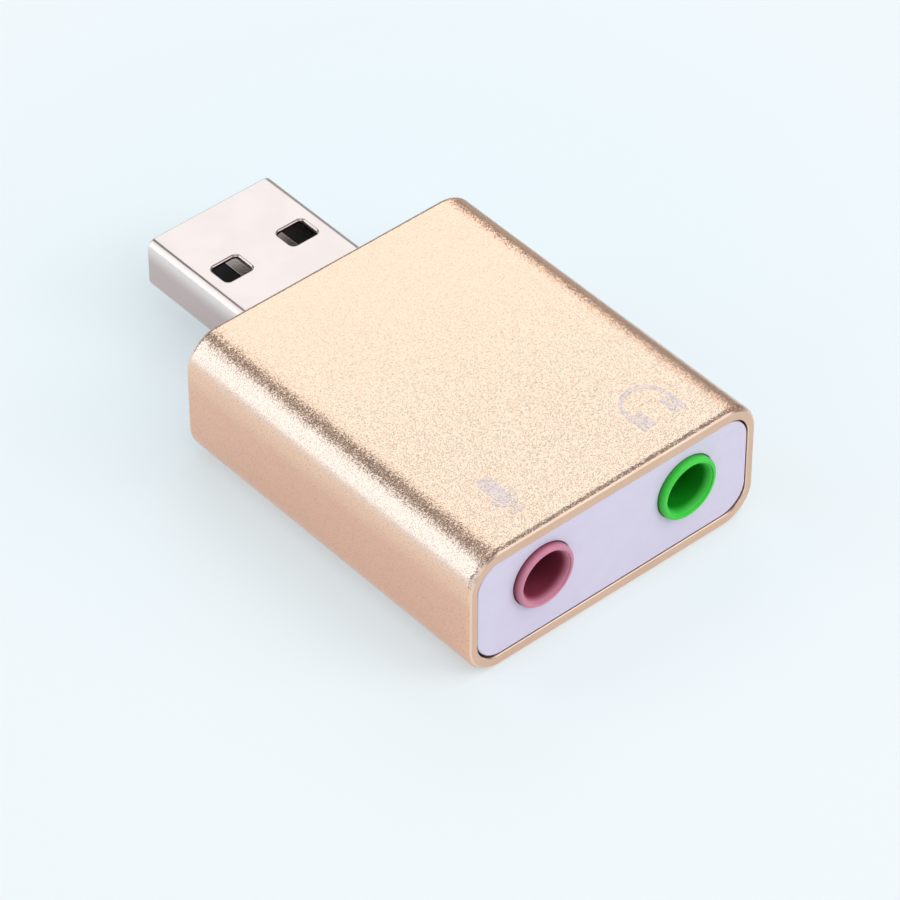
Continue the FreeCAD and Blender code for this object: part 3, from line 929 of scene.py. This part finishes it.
@dataclass
class Casing(SubAssembly):
    """The extruded sleeve and the two moulded panels that close it.

    The slopes are the size of a normal's part along Y: how far a face looks to the sleeve's ends.
    """

    corner_radius: float = 2.9 * MM
    bore_radius: float = 2.0 * MM
    side_wall: float = 0.8 * MM
    flat_wall: float = 1.05 * MM
    end_chamfer: float = 0.26 * MM
    end_round: float = 0.20 * MM
    bore_chamfer: float = 0.06 * MM
    corner_segments: int = 18
    end_segments: int = 6
    crease: float = math.radians(30)
    right_angle: float = math.radians(80)
    outward: float = 0.05
    level_slope: float = 0.1
    chamfer_slopes: Pair = (0.6, 0.8)
    chamfer_slope: float = math.sqrt(0.5)
    chamfer_tolerance: float = 0.02
    panel_edges: EdgeBreak = EdgeBreak(0.02 * MM)

    def build(self) -> list[Piece]:
        """Builds the sleeve and both panels."""
        return [
            self.sleeve(),
            self.softened("front_panel", "front_plate", PANEL_WHITE, "white_plastic", self.panel_edges),
            self.softened("rear_panel", "rear_plate", PANEL_WHITE, "white_plastic", self.panel_edges),
        ]

    def corner_moves(self, low: Vector, high: Vector) -> list[tuple[Pair, Matrix]]:
        """Finds how each corner of the outline moves to become a corner of the bore.

        Args:
            low: the sleeve's lowest corner.
            high: the sleeve's highest corner.

        Returns:
            For each corner, the signs of its sides along X and Z, and the move.
        """
        middle, half = (low + high) / 2, (high - low) / 2
        ratio = self.bore_radius / self.corner_radius
        shrink = Matrix.Diagonal((ratio, 1.0, ratio, 1.0))
        outer = (half.x - self.corner_radius, half.z - self.corner_radius)
        inner = (half.x - self.side_wall - self.bore_radius, half.z - self.flat_wall - self.bore_radius)
        spans = (outer, inner)
        moves = []
        for x in SIDES:
            for z in SIDES:
                old, new = (Vector((middle.x + x * run, 0, middle.z + z * rise)) for run, rise in spans)
                moves.append(((x, z), Matrix.Translation(new) @ shrink @ Matrix.Translation(-old)))
        return moves

    def sleeve(self) -> Piece:
        """Builds the sleeve: a tube that turns in at its front, runs back as the bore and turns out.

        Returns:
            The sleeve, grained outside, plain on its rims and inside, and bright on its chamfers.
        """
        low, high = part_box("housing_sleeve")
        middle = (low + high) / 2
        form = bmesh.new()
        edges = edges_along(block(form, low, high), Axis.Y)
        rounded(form, edges, self.corner_radius, self.corner_segments)
        ends = [face for face in form.faces if abs(face.normal.y) > ALIGNED]
        loop = [edge for face in ends if face.normal.y < 0 for edge in face.edges]
        bmesh.ops.delete(form, geom=ends, context="FACES_ONLY")
        inwards = self.corner_moves(low, high)
        back = [((0, 0), Matrix.Translation((0.0, high.y - low.y, 0.0)))]
        outwards = [(signs, move.inverted()) for signs, move in inwards]
        for moves in (inwards, back, outwards):
            verts, loop = extruded(form, loop)
            places = [(vert, vert.co - middle) for vert in verts]
            groups = [[v for v, at in places if at.x * x >= 0 and at.z * z >= 0] for (x, z), _ in moves]
            for group, (_, move) in zip(groups, moves):
                bmesh.ops.transform(form, matrix=move, verts=group)
        closed(form)
        rounded(form, self.end_edges(form, middle, WallSide.OUTER), self.end_chamfer, segments=1)
        rounded(form, self.shoulders(form), self.end_round, self.end_segments)
        rounded(form, self.end_edges(form, middle, WallSide.INNER), self.bore_chamfer, segments=1)
        kinds = list(SleeveFace)
        for face in form.faces:
            face.material_index = kinds.index(self.kind(face, middle))
        finishes = [kind.value for kind in kinds]
        piece = self.piece("blasted_sleeve", form, finishes, "gold_aluminium", ["housing_sleeve"])
        piece.data.set_sharp_from_angle(angle=self.crease)
        return self.flattened(piece)

    def kind(self, face: Face, middle: Vector) -> SleeveFace:
        """Finds what kind of face one of the sleeve's is.

        Args:
            face: the face.
            middle: the sleeve's middle.

        Returns:
            The kind.
        """
        if abs(abs(face.normal.y) - self.chamfer_slope) < self.chamfer_tolerance:
            return SleeveFace.CHAMFER
        outside = self.facing(face, middle) > self.outward
        return SleeveFace.OUTSIDE if outside else SleeveFace.RIM_OR_BORE

    def shoulders(self, form: Form) -> list[Edge]:
        """Finds the edges where a chamfer meets the outside.

        Args:
            form: the sleeve, chamfered outside only.

        Returns:
            The edges.
        """
        found = []
        least, most = self.chamfer_slopes
        for edge in form.edges:
            slopes = sorted(abs(face.normal.y) for face in edge.link_faces)
            if slopes[0] < self.level_slope and least < slopes[-1] < most:
                found.append(edge)
        return found

    def end_edges(self, form: Form, middle: Vector, side: WallSide) -> list[Edge]:
        """Finds the sharp edges at both ends of the sleeve.

        Args:
            form: the sleeve.
            middle: its middle.
            side: the side of its wall that the edges bound.

        Returns:
            The edges.
        """
        found = []
        for edge in form.edges:
            turned = [side.value * self.facing(face, middle) for face in edge.link_faces]
            if edge.calc_face_angle() > self.right_angle and max(turned) > self.outward:
                found.append(edge)
        return found

    @staticmethod
    def facing(face: Face, middle: Vector) -> float:
        """Finds how far a face looks away from the line along Y through a middle."""
        outward = (face.calc_center_median() - middle) * Vector((1.0, 0.0, 1.0))
        return face.normal.dot(outward.normalized())


@dataclass
class Sockets(SubAssembly):
    """The two moulded sockets and their spring contacts."""

    body_edges: EdgeBreak = EdgeBreak(0.03 * MM, segments=2)
    spring_edges: EdgeBreak = EdgeBreak(0.03 * MM, segments=2)

    def build(self) -> list[Piece]:
        """Builds both sockets."""
        green = self.socket("headphone", SOCKET_GREEN, "green_plastic")
        return green + self.socket("microphone", SOCKET_PINK, "pink_plastic")

    def socket(self, use: str, finish: Finish, slot: str) -> list[Piece]:
        """Builds one socket.

        Args:
            use: what is plugged into it.
            finish: the finish of its body.
            slot: the record's material slot of its body.

        Returns:
            The body and its three springs.
        """
        pieces = [self.softened(f"{use}_jack_body", f"{use}_socket", finish, slot, self.body_edges)]
        for part in ("sleeve", "ring", "tip"):
            node, name = f"{use}_{part}_contact", f"{use}_{part}_spring"
            pieces.append(self.softened(node, name, TINNED, "tinned_metal", self.spring_edges))
        return pieces


@dataclass
class Plug(SubAssembly):
    """The plated shell, the black tongue in it and its four contact strips."""

    width: float = 12.0 * MM
    height: float = 4.5 * MM
    wall: float = 0.3 * MM
    corner_radius: float = 0.82 * MM
    window_x: float = 3.15 * MM
    window_y: float = 16.40 * MM
    window_width: float = 2.55 * MM
    window_length: float = 2.10 * MM
    window_radius: float = 0.40 * MM
    window_roll: float = 0.21 * MM
    tip_roll: float = 0.12 * MM
    arc_segments: int = 8
    roll_segments: int = 5
    # Painted shade: a thin black strip stands in for the seam's gap.
    seam_width: float = 0.08 * MM
    seam_height: float = 0.01 * MM
    seam_shade_finish: int = 1
    seam_path: tuple[Pair, ...] = ((0.0, 11.25), (1.2, 10.9), (1.2, 13.3), (0.0, 12.95))
    wing_reach: float = 1.2 * MM
    wing_start: float = 0.7 * MM
    wing_length: float = 1.6 * MM
    wing_top: float = 4.03 * MM
    tongue_edges: EdgeBreak = EdgeBreak(0.05 * MM, segments=2)
    strip_edges: EdgeBreak = EdgeBreak(0.05 * MM)

    def build(self) -> list[Piece]:
        """Builds the plug.

        Returns:
            The shell, the tongue and the strips.
        """
        tongue = ("usb_insulator", "plug_tongue", BLACK_MOULDING, "black_plastic", self.tongue_edges)
        pieces = [self.shell(), self.softened(*tongue)]
        for line in ("power", "data_minus", "data_plus", "ground"):
            node, name = f"usb_contact_{line}", f"{line}_strip"
            pieces.append(self.softened(node, name, CONTACT, "contact_metal", self.strip_edges))
        return pieces

    def roll(self, radius: float) -> list[Pair]:
        """The steps of a quarter round: how far each lies over, and how far down."""
        turns = [math.pi / 2 * (step + 1) / self.roll_segments for step in range(self.roll_segments)]
        return [(radius * math.sin(turn), radius * (1 - math.cos(turn))) for turn in turns]

    def shell(self) -> Piece:
        """Builds the shell: two skins that rolled rims join round the windows and at the mouth.

        Returns:
            The shell, with its board legs and a black strip of painted shade along its seam.
        """
        form = bmesh.new()
        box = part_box("usb_plug_shell")
        low = Vector((-self.width / 2, box[0].y, box[1].z - self.height))
        high = Vector((self.width / 2, box[1].y, box[1].z))
        mouth = high - Vector((0, self.tip_roll, 0))
        self.skin(form, low, mouth, self.corner_radius, self.window_roll)
        self.window_rims(form, (low.z + high.z) / 2)
        corner = Vector((self.width / 2 - self.corner_radius, 0, self.height / 2 - self.corner_radius))
        tip = [(over, on) for on, over in self.roll(self.tip_roll)]
        ends = {low.y: [(self.wall, 0.0)], mouth.y: [*tip, (self.wall, self.tip_roll)]}
        for end_y, steps in ends.items():
            loop = [edge for edge in form.edges if edge.is_boundary and self.is_at_y(edge, end_y)]
            drawn_in(form, loop, corner, self.corner_radius, steps, Vector((0, 1.0, 0)))
        inward = Vector((self.wall, 0, self.wall))
        self.skin(form, low + inward, high - inward, self.corner_radius - self.wall, 0.0)
        closed(form)
        self.legs(form, box[0].z, low.y)
        self.seam(form, low, high)
        # The black moulding paints the shade of the seam's gap.
        finishes = [NICKEL, BLACK_MOULDING]
        piece = self.piece("plug_shell", form, finishes, "plated_steel", ["usb_plug_shell"])
        piece.data.set_sharp_from_angle(angle=CREASE_ANGLE)
        return self.flattened(piece)

    def skin(self, form: Form, low: Vector, high: Vector, radius: float, roll: float) -> None:
        """Adds one skin of the shell: an open tube with two windows in its top and two in its bottom.

        Args:
            form: the mesh that it is added to.
            low: its lowest corner.
            high: its highest corner.
            radius: the radius of its long edges.
            roll: how far a window's outline lies outside its opening.
        """
        known = set(form.faces)
        rounded(form, edges_along(block(form, low, high), Axis.Y), radius, self.arc_segments)
        ends = [face for face in new_faces(form, known) if abs(face.normal.y) > ALIGNED]
        bmesh.ops.delete(form, geom=ends, context="FACES_ONLY")
        half_x, half_y = self.window_width / 2 + roll, self.window_length / 2 + roll
        for side in SIDES:
            place = Vector((0, self.window_y + side * half_y, 0))
            self.cut(form, new_faces(form, known), place, Vector((0, 1, 0)))
        for window_x in (-self.window_x, self.window_x):
            for side in SIDES:
                flat = [face for face in new_faces(form, known) if abs(face.normal.z) > ALIGNED]
                strip = [f for f in flat if abs(f.calc_center_median().y - self.window_y) < half_y]
                self.cut(form, strip, Vector((window_x + side * half_x, 0, 0)), Vector((1, 0, 0)))
        verts = dict.fromkeys(vert for face in new_faces(form, known) for vert in face.verts)
        spots = [vert for vert in verts if self.is_window_corner(vert.co, half_x, half_y)]
        rounded(form, spots, self.window_radius + roll, self.arc_segments, Rounding.CORNERS)
        panes = [face for face in new_faces(form, known) if self.is_pane(face)]
        bmesh.ops.delete(form, geom=panes, context="FACES")

    @staticmethod
    def cut(form: Form, faces: list[Face], place: Vector, normal: Vector) -> None:
        """Cuts some faces along the plane through a place."""
        parts = list(dict.fromkeys(item for face in faces for item in (face, *face.edges, *face.verts)))
        bmesh.ops.bisect_plane(form, geom=parts, dist=MERGE_DISTANCE, plane_co=place, plane_no=normal)

    @staticmethod
    def is_at_y(edge: Edge, y: float) -> bool:
        """Whether an edge lies in the plane at y."""
        return all(abs(vert.co.y - y) < MERGE_DISTANCE for vert in edge.verts)

    def is_window_corner(self, place: Vector, half_x: float, half_y: float) -> bool:
        """Whether a point is a corner of a window's square outline."""
        across = abs(abs(abs(place.x) - self.window_x) - half_x)
        return max(across, abs(abs(place.y - self.window_y) - half_y)) < MERGE_DISTANCE

    def is_pane(self, face: Face) -> bool:
        """Whether a face fills a window.

        Args:
            face: the face.

        Returns:
            True if it is level and its middle lies in a window.
        """
        place = face.calc_center_median()
        across, along = abs(abs(place.x) - self.window_x), abs(place.y - self.window_y)
        return abs(face.normal.z) > ALIGNED and max(across, along) < self.window_radius

    def window_rims(self, form: Form, middle_z: float) -> None:
        """Rolls the rims of the outer skin's windows inwards.

        Args:
            form: the outer skin.
            middle_z: the height of the shell's middle.
        """
        loops: dict[tuple[bool, bool], list[Edge]] = {}
        for edge in form.edges:
            place = (edge.verts[0].co + edge.verts[1].co) / 2
            if edge.is_boundary and abs(place.y - self.window_y) < self.window_length:
                loops.setdefault((place.x > 0, place.z > middle_z), []).append(edge)
        half_x, half_y = self.window_width / 2, self.window_length / 2
        corner = Vector((half_x - self.window_radius, half_y - self.window_radius, 0))
        steps = self.roll(self.window_roll) + [(self.window_roll, self.wall)]
        for (_, upper), loop in loops.items():
            inwards = Vector((0, 0, -1.0 if upper else 1.0))
            drawn_in(form, loop, corner, self.window_radius + self.window_roll, steps, inwards)

    def legs(self, form: Form, low_z: float, back_y: float) -> None:
        """Adds the two folded legs that hold the shell on the board.

        Args:
            form: the mesh that they are added to.
            low_z: the height of their ends.
            back_y: the shell's back.
        """
        y0, y1 = back_y + self.wing_start, back_y + self.wing_start + self.wing_length
        root, tip = self.width / 2 - self.wall / 2, self.width / 2 + self.wing_reach
        for x0, x1 in ((-tip, -root), (root, tip)):
            block(form, Vector((x0, y0, self.wing_top - self.wall)), Vector((x1, y1, self.wing_top)))
        for x0, x1 in ((-tip, self.wall - tip), (tip - self.wall, tip)):
            block(form, Vector((x0, y0, low_z)), Vector((x1, y1, self.wing_top)))

    def seam(self, form: Form, low: Vector, high: Vector) -> None:
        """Adds the seam under the shell as a thin black strip of painted shade, with one dovetail.

        Args:
            form: the mesh that it is added to.
            low: the shell's lowest corner.
            high: the shell's highest corner.
        """
        bends = [Vector((x * MM, y * MM, low.z)) for x, y in self.seam_path]
        path = [Vector((0, low.y, low.z)), *bends, Vector((0, high.y - self.tip_roll, low.z))]
        for start, end in zip(path, path[1:]):
            turn = Matrix.Rotation(math.atan2(end.y - start.y, end.x - start.x), 4, "Z")
            length = (end - start).length + self.seam_width
            size = Matrix.Diagonal((length, self.seam_width, self.seam_height, 1.0))
            place = Matrix.Translation((start + end) / 2) @ turn @ size
            for vert in bmesh.ops.create_cube(form, size=1.0, matrix=place)["verts"]:
                for face in vert.link_faces:
                    face.material_index = self.seam_shade_finish


@dataclass
class Circuit(SubAssembly):
    """The board and the parts on it, which keep their solids."""

    def build(self) -> list[Piece]:
        """Dresses the solids.

        Returns:
            The solids.
        """
        finishes = {
            "circuit_board": LAMINATE,
            "audio_chip": BLACK_MOULDING,
            "audio_chip_leads": TINNED,
            "crystal_base": PALE_CERAMIC,
            "crystal_lid": TINNED,
            "chip_capacitors": TAN_CERAMIC,
            "chip_resistors": BLACK_MOULDING,
            "left_capacitor_seat": BLACK_MOULDING,
            "right_capacitor_seat": BLACK_MOULDING,
            "left_capacitor_can": CAN_FOIL,
            "right_capacitor_can": CAN_FOIL,
        }
        solids = []
        for node, finish in finishes.items():
            solids.append(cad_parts[node])
            for slot in solids[-1].material_slots:
                slot.material = finish.material()
        return solids


@dataclass
class Pictograms(SubAssembly):
    """The two printed pictograms on the sleeve, one in front of each socket."""

    proud: float = 0.012 * MM
    sunk: float = 0.02 * MM
    headphones_x: float = 7.05 * MM
    band_centre_y: float = -17.95 * MM
    band_radius: float = 1.88 * MM
    band_width: float = 0.38 * MM
    pad_width: float = 1.22 * MM
    pad_length: float = 1.8 * MM
    pad_split: float = 0.08 * MM
    pad_top_y: float = -18.15 * MM
    pad_radius: float = 0.2 * MM
    microphone_x: float = -7.05 * MM
    capsule_width: float = 1.28 * MM
    capsule_flat: float = 0.001 * MM
    capsule_top_y: float = -16.05 * MM
    capsule_bottom_y: float = -19.1 * MM
    yoke_radius: float = 0.95 * MM
    yoke_width: float = 0.28 * MM
    yoke_centre_y: float = -18.42 * MM
    yoke_top_y: float = -17.95 * MM
    stem_bottom_y: float = -20.1 * MM
    stem_drop: float = 0.004 * MM
    base_width: float = 1.35 * MM
    base_length: float = 0.28 * MM
    corner_segments: int = 8
    arc_steps: int = 32

    def __post_init__(self) -> None:
        """Finds the heights between which the print lies.

        The print reaches into the sleeve and stands a little proud of it.
        """
        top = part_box("housing_sleeve")[1].z
        self.low_z = top - self.sunk
        self.high_z = top + self.proud

    def build(self) -> list[Piece]:
        """Builds both pictograms."""
        return [self.headphones(), self.microphone()]

    def plate(
        self, form: Form, centre: Pair, size: Pair, radius: float = 0.0, drop: float = 0.0
    ) -> None:
        """Adds a flat plate of print.

        Args:
            form: the mesh that it is added to.
            centre: the middle of the plate, in plan.
            size: its width and its length.
            radius: the radius of its corners.
            drop: how far it lies below the print's top, so that what it runs under covers it.
        """
        low = Vector((centre[0] - size[0] / 2, centre[1] - size[1] / 2, self.low_z))
        corners = block(form, low, low + Vector((*size, self.high_z - drop - self.low_z)))
        if radius:
            rounded(form, edges_along(corners, Axis.Z), radius, self.corner_segments)

    def arc(self, form: Form, centre: Pair, radius: float, width: float, start: float) -> None:
        """Adds a band of print that is bent through half a turn.

        Args:
            form: the mesh that it is added to.
            centre: the middle of the bend, in plan.
            radius: the radius of the band's middle.
            width: the band's width.
            start: the angle at which it starts.
        """
        axis = Vector((*centre, 0.0))
        across = Vector((math.cos(start), math.sin(start), 0.0))
        section = [
            form.verts.new(axis + across * (radius + side * width / 2) + Vector((0, 0, z)))
            for side, z in ((-1, self.low_z), (1, self.low_z), (1, self.high_z), (-1, self.high_z))
        ]
        face = form.faces.new(section)
        bent = [face, *face.edges, *section]
        bmesh.ops.spin(form, geom=bent, cent=axis, axis=(0, 0, 1), angle=math.pi, steps=self.arc_steps)

    def headphones(self) -> Piece:
        """Builds the headphones: a band over two pads.

        Returns:
            The pictogram.
        """
        form = bmesh.new()
        x, y = self.headphones_x, self.band_centre_y
        self.arc(form, (x, y), self.band_radius, self.band_width, 0.0)
        half = (self.pad_width - self.pad_split) / 2
        pad_y = self.pad_top_y - self.pad_length / 2
        for side in SIDES:
            band_x = x + side * self.band_radius
            self.plate(form, (band_x, (y + self.pad_top_y) / 2), (self.band_width, y - self.pad_top_y))
            pad_x = x + side * (self.band_radius + self.band_width / 2 - self.pad_width / 2)
            for part in SIDES:
                part_x = pad_x + part * (half + self.pad_split) / 2
                self.plate(form, (part_x, pad_y), (half, self.pad_length), self.pad_radius)
        return self.printed("headphone_pictogram", form)

    def microphone(self) -> Piece:
        """Builds the microphone: a capsule in a yoke, on a stem with a base.

        Returns:
            The pictogram.
        """
        form = bmesh.new()
        x = self.microphone_x
        capsule_y = (self.capsule_top_y + self.capsule_bottom_y) / 2
        capsule = (self.capsule_width, self.capsule_top_y - self.capsule_bottom_y)
        self.plate(form, (x, capsule_y), capsule, self.capsule_width / 2 - self.capsule_flat)
        self.arc(form, (x, self.yoke_centre_y), self.yoke_radius, self.yoke_width, math.pi)
        arm_y = (self.yoke_top_y + self.yoke_centre_y) / 2
        arm = (self.yoke_width, self.yoke_top_y - self.yoke_centre_y)
        for side in SIDES:
            self.plate(form, (x + side * self.yoke_radius, arm_y), arm)
        stem_top = self.yoke_centre_y - self.yoke_radius
        stem = (self.yoke_width, stem_top - self.stem_bottom_y)
        self.plate(form, (x, (stem_top + self.stem_bottom_y) / 2), stem, drop=self.stem_drop)
        self.plate(form, (x, self.stem_bottom_y), (self.base_width, self.base_length))
        return self.printed("microphone_pictogram", form)

    def printed(self, name: str, form: Form) -> Piece:
        """Closes a pictogram's mesh and dresses it in ink.

        Args:
            name: the piece's name.
            form: its mesh.

        Returns:
            The piece.
        """
        closed(form)
        piece = self.piece(name, form, [INK], "gold_aluminium")
        piece.data.set_sharp_from_angle(angle=CREASE_ANGLE)
        return piece


@dataclass(frozen=True)
class Softbox:
    """A soft lamp: where it stands from the object, its size and how bright its face is."""

    name: str
    direction: Point
    distance: float
    width: float
    height: float
    brightness: float
    colour: Point = (1.0, 1.0, 1.0)
    in_reflections: bool = True
    on_surfaces: bool = True

    def build(self, target: Vector) -> None:
        """Sets the lamp up.

        Args:
            target: the point that it faces.
        """
        light = bpy.data.lights.new(self.name, "AREA")
        light.shape = "RECTANGLE"
        light.size = self.width
        light.size_y = self.height
        light.color = self.colour
        light.energy = self.brightness * math.pi * self.width * self.height
        lamp = bpy.data.objects.new(self.name, light)
        towards = Vector(self.direction).normalized()
        lamp.location = target + towards * self.distance
        lamp.rotation_mode = "QUATERNION"
        lamp.rotation_quaternion = towards.to_track_quat("Z", "Y")
        lamp.visible_glossy = self.in_reflections
        lamp.visible_diffuse = self.on_surfaces
        bpy.context.scene.collection.objects.link(lamp)


@dataclass
class Studio:
    """The camera, the floor, the card and the lamps."""

    azimuth: float = math.radians(-40.966)
    elevation: float = math.radians(42.690)
    distance: float = 374.626 * MM
    target: Point = (-2.737 * MM, -7.849 * MM, 5.55 * MM)
    lens: float = 208.2
    nearest: float = 0.01
    furthest: float = 10.0
    floor_radius: float = 2.5
    floor_segments: int = 96
    floor_drop: float = 0.01 * MM
    world_colour: Colour = (0.25, 0.255, 0.265, 1.0)
    card_direction: Point = (0.83, 0.555, 0.0)
    card_distance: float = 0.048
    card_width: float = 0.14
    card_height: float = 0.029
    card_thickness: float = 0.0002
    card_lift: float = 0.0078
    card_lean: float = math.radians(-56.0)
    lamps: tuple[Softbox, ...] = (
        Softbox("back_right_box", (0.53, 0.585, 0.682), 0.6, 0.50, 0.398, 1.03, (0.955, 1.06, 1.075)),
        Softbox("low_right_box", (0.80, 0.555, 0.25), 0.6, 0.30, 0.14, 0.12),
        Softbox("left_box", (-0.68, 0.555, 0.495), 0.6, 0.48, 0.66, 0.99, (0.98, 1.08, 1.10)),
        Softbox("front_left_box", (-0.60, -0.66, 0.46), 0.6, 0.55, 0.42, 0.75, on_surfaces=False),
        Softbox("top_box", (0.0, 0.02, 1.0), 1.0, 0.56, 0.56, 0.75, on_surfaces=False),
        Softbox("front_right_box", (0.49, -0.70, 0.52), 0.6, 0.35, 0.24, 1.15),
        Softbox("front_fill", (0.50, -0.75, 0.43), 0.6, 0.35, 0.35, 1.05, in_reflections=False),
        Softbox("overhead_fill", (0.12, -0.45, 0.88), 1.0, 1.2, 1.2, 1.75, in_reflections=False),
    )

    def build(self) -> None:
        """Sets the studio up: the camera, the floor, the card, the air and the lamps."""
        self.camera()
        self.floor()
        self.card()
        world = bpy.data.worlds.new("studio_air")
        world.use_nodes = True
        world.node_tree.nodes["Background"].inputs["Color"].default_value = self.world_colour
        bpy.context.scene.world = world
        bpy.context.scene.view_settings.view_transform = "Standard"
        for lamp in self.lamps:
            lamp.build(Vector(self.target))

    def camera(self) -> None:
        """Sets the camera at the photograph's angle."""
        data = bpy.data.cameras.new("camera")
        data.lens = self.lens
        data.clip_start = self.nearest
        data.clip_end = self.furthest
        camera = bpy.data.objects.new("camera", data)
        level = math.cos(self.elevation)
        across, along = math.sin(self.azimuth) * level, -math.cos(self.azimuth) * level
        back = Vector((across, along, math.sin(self.elevation)))
        camera.location = Vector(self.target) + back * self.distance
        camera.rotation_mode = "QUATERNION"
        camera.rotation_quaternion = back.to_track_quat("Z", "Y")
        bpy.context.scene.collection.objects.link(camera)
        bpy.context.scene.camera = camera

    @staticmethod
    def staged(name: str, form: Form, finish: Finish) -> Piece:
        """Turns a form into a thing of the studio.

        Args:
            name: its name.
            form: its mesh.
            finish: its finish.

        Returns:
            The thing.
        """
        thing = set_up(name, form, [finish])
        return thing

    def floor(self) -> None:
        """Lays the floor."""
        form = bmesh.new()
        place = Matrix.Translation((0.0, 0.0, -self.floor_drop))
        size = {"segments": self.floor_segments, "radius": self.floor_radius}
        bmesh.ops.create_circle(form, cap_ends=True, matrix=place, **size)
        self.staged("floor", form, FLOOR_PAINT)

    def card(self) -> None:
        """Leans a low grey card away from the object, which only its reflections show."""
        form = bmesh.new()
        towards = Vector(self.card_direction).normalized()
        turn = towards.to_track_quat("Y", "Z").to_matrix().to_4x4()
        lean = Matrix.Rotation(self.card_lean, 4, "X")
        size = Matrix.Diagonal((self.card_width, self.card_thickness, self.card_height, 1.0))
        place = Matrix.Translation(towards * self.card_distance + Vector((0, 0, self.card_lift)))
        bmesh.ops.create_cube(form, size=1.0, matrix=place @ turn @ lean @ size)
        card = self.staged("grey_card", form, CARD_GREY)
        card.visible_camera = False
        card.visible_diffuse = False
        card.visible_shadow = False


def main() -> None:
    """Builds the object and its studio, and reports each piece."""
    logging.basicConfig(level=logging.INFO, format="%(message)s")
    for assembly in (Casing(), Sockets(), Plug(), Circuit(), Pictograms()):
        for piece in assembly.build():
            LOG.info("%s: %s, %d faces", type(assembly).__name__, piece.name, len(piece.data.polygons))
    Studio().build()


if __name__ == "__main__":
    main()
